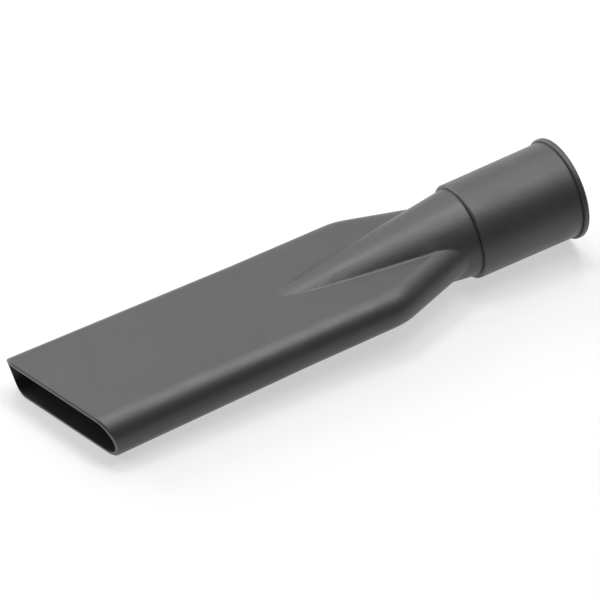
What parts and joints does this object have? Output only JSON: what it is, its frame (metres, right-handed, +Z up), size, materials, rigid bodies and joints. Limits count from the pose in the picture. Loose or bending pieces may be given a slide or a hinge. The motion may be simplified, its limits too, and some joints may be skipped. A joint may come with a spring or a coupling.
{
  "type": "vacuum crevice tool",
  "caption": "Hollow plastic crevice tool: a round, rimmed push-on socket whose tapering cone flattens into a long, wide, thin nozzle with a slanted, open mouth.",
  "frame": {"origin": "on the surface that the tool lies on, under the centre of its bounding box", "axes": "+X runs along the tool from the flat mouth towards the round socket, +Y to the side where the mouth leads, +Z up from the surface that it lies on; the tool's own axis rises about 3 degrees towards the socket, because the edge of the collar and the lower lip of the mouth are what touch the surface"},
  "size_m": [0.2332, 0.0634, 0.0442],
  "materials": {
    "moulding": "dark neutral grey moulded plastic with a fine, even grain and a soft satin sheen"
  },
  "bodies": {
    "root": {"crevice_tool": "moulding"}
  },
  "joints": []
}
